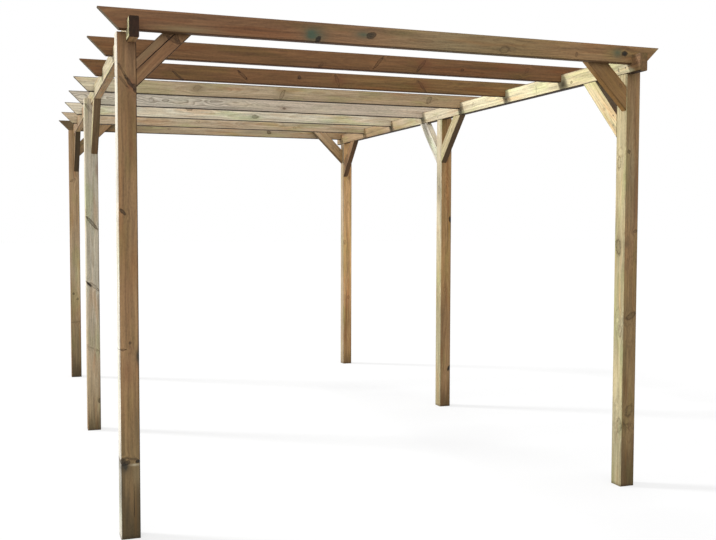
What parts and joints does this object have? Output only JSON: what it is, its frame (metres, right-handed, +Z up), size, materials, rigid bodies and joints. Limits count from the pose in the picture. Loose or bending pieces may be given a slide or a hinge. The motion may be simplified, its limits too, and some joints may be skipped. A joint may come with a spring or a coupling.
{
  "type": "open timber carport frame",
  "caption": "Free-standing open carport frame of planed timber: square posts carry notched side beams, with rafters lapped across them and mitred knee braces at each post head.",
  "frame": {"origin": "on the ground, in the middle of the frame's footprint", "axes": "+X to the right as seen from the front, +Y to the back along the side beams, +Z up"},
  "size_m": [3, 5.24, 2.45],
  "materials": {
    "post_timber": "planed and eased, pressure-treated, lightly weathered",
    "beam_timber": "planed and eased, pressure-treated, pale",
    "rafter_timber": "planed and eased, pressure-treated, knotty",
    "brace_timber": "planed and eased, pressure-treated, mitred ends",
    "screw_steel": "zinc-plated screw heads, dulled outdoors"
  },
  "bodies": {
    "root": {"front_left_post": "post_timber", "middle_left_post": "post_timber", "rear_left_post": "post_timber", "front_right_post": "post_timber", "middle_right_post": "post_timber", "rear_right_post": "post_timber", "left_beam": "beam_timber", "right_beam": "beam_timber", "rafter_1": "rafter_timber", "rafter_2": "rafter_timber", "rafter_3": "rafter_timber", "rafter_4": "rafter_timber", "rafter_5": "rafter_timber", "rafter_6": "rafter_timber", "rafter_7": "rafter_timber", "rafter_8": "rafter_timber", "front_left_cross_brace": "brace_timber", "front_right_cross_brace": "brace_timber", "rear_left_cross_brace": "brace_timber", "rear_right_cross_brace": "brace_timber", "front_left_side_brace": "brace_timber", "front_right_side_brace": "brace_timber", "middle_left_front_brace": "brace_timber", "middle_left_rear_brace": "brace_timber", "middle_right_front_brace": "brace_timber", "middle_right_rear_brace": "brace_timber", "rear_left_side_brace": "brace_timber", "rear_right_side_brace": "brace_timber"}
  },
  "joints": []
}
